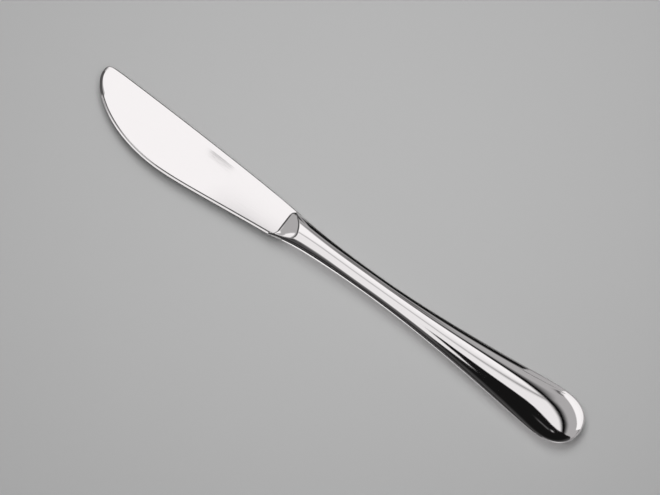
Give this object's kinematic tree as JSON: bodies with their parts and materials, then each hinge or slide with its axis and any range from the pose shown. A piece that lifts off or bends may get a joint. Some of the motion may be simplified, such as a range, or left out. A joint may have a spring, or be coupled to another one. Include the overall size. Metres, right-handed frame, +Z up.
{
  "type": "table knife",
  "caption": "Polished steel table knife with a broad curved blade, a scooped bolster and a hollow waisted handle that swells to a round butt.",
  "frame": {"origin": "middle of the underside of the whole knife as it lies on its side", "axes": "+X along the knife towards the butt, +Y across the blade towards the spine, +Z up from the table"},
  "size_m": [0.235, 0.0232, 0.0063],
  "materials": {
    "blade_steel": "hardened stainless steel, mirror polished, with a fine ground bevel",
    "handle_steel": "stainless steel, mirror polished",
    "filler": "hard cast cement, rough, hidden inside the handle"
  },
  "bodies": {
    "root": {"blade": "blade_steel", "handle_shell_upper": "handle_steel", "handle_shell_lower": "handle_steel", "handle_filler": "filler"}
  },
  "joints": []
}
